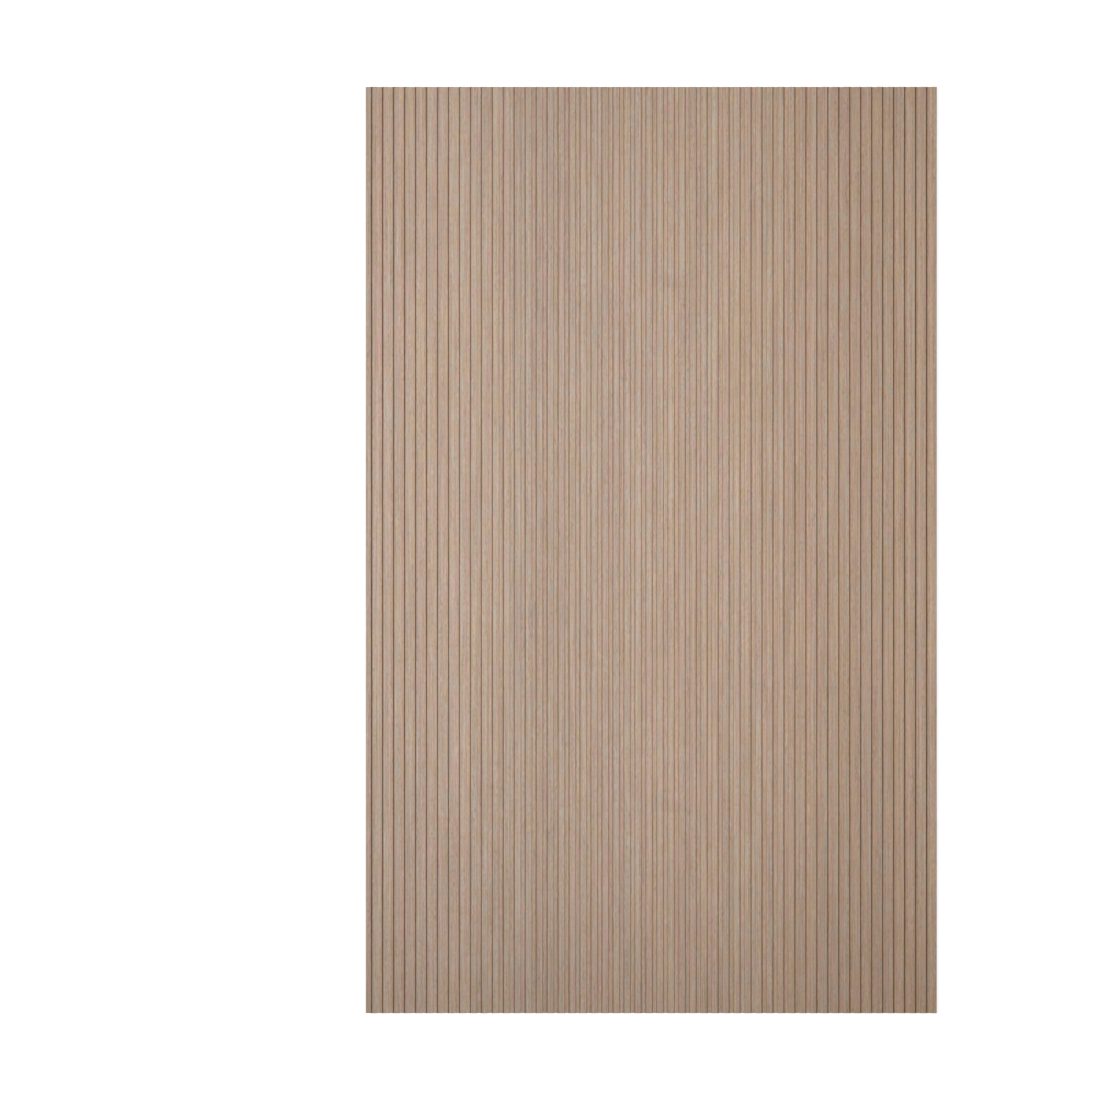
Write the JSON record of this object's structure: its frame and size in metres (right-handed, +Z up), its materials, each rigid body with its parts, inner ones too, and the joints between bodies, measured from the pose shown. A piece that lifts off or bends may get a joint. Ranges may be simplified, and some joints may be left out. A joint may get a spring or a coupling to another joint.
{
  "type": "slatted pvc wall panel",
  "caption": "Flat extruded PVC wall panel with a face of straight flat-topped slats and open grooves, a plain back, and a bare lip along one edge where the next panel butts.",
  "frame": {"origin": "under the middle of the back face, on the surface that the panel lies on", "axes": "+X across the slats towards the edge that ends in a slat, +Y along the slats, +Z up through the slatted face"},
  "size_m": [1.22, 1.98, 0.009],
  "materials": {
    "panel": "matt wood-decor film on foamed PVC"
  },
  "bodies": {
    "root": {"panel": "panel"}
  },
  "joints": []
}
